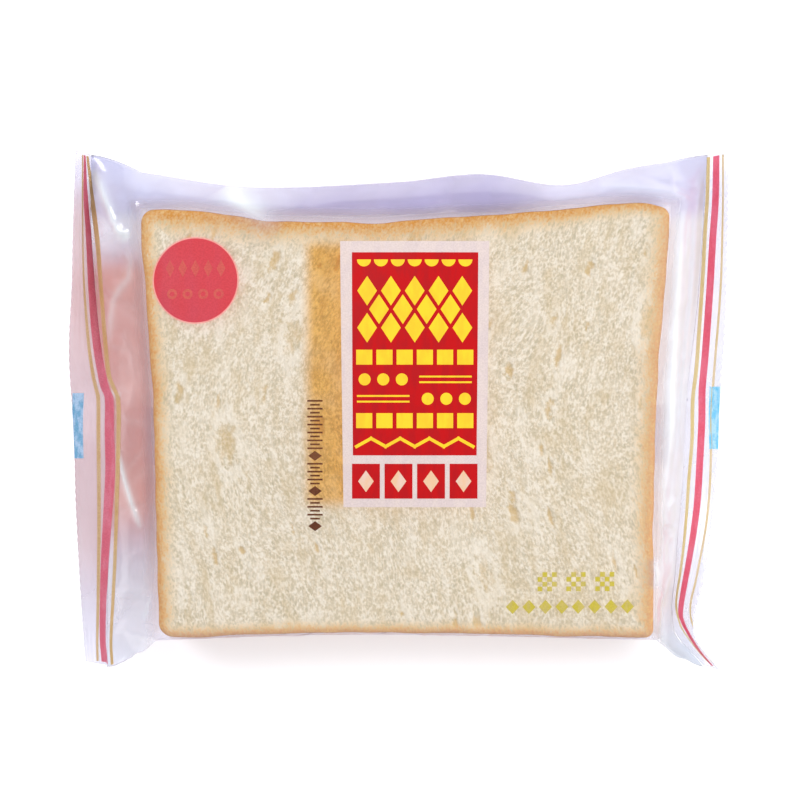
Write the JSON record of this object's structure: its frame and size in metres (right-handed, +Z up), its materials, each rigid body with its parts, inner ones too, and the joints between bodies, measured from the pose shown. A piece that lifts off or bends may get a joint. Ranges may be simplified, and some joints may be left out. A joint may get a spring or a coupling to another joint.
{
  "type": "sliced bread in sealed clear bag",
  "caption": "Slices of white tin bread sealed flat in a clear film bag, with a printed front and a crimped weld across each end.",
  "frame": {"origin": "on the surface the bag lies on, under the middle of the bag's box", "axes": "+X along the bag from the left weld to the right weld, +Y towards the slices' top crust, +Z up out of the printed front"},
  "size_m": [0.1658, 0.13, 0.0241],
  "materials": {
    "filled_bag": "cream bread seen through clear glossy film",
    "film": "clear, thin, glossy and creased",
    "print": "ink on film: red, white and yellow panel, red disc, gold and red weld stripes",
    "crumb": "soft white bread crumb with fine open pores",
    "crust": "thin golden crust"
  },
  "bodies": {
    "root": {"bread_bag": "filled_bag"}
  },
  "joints": []
}
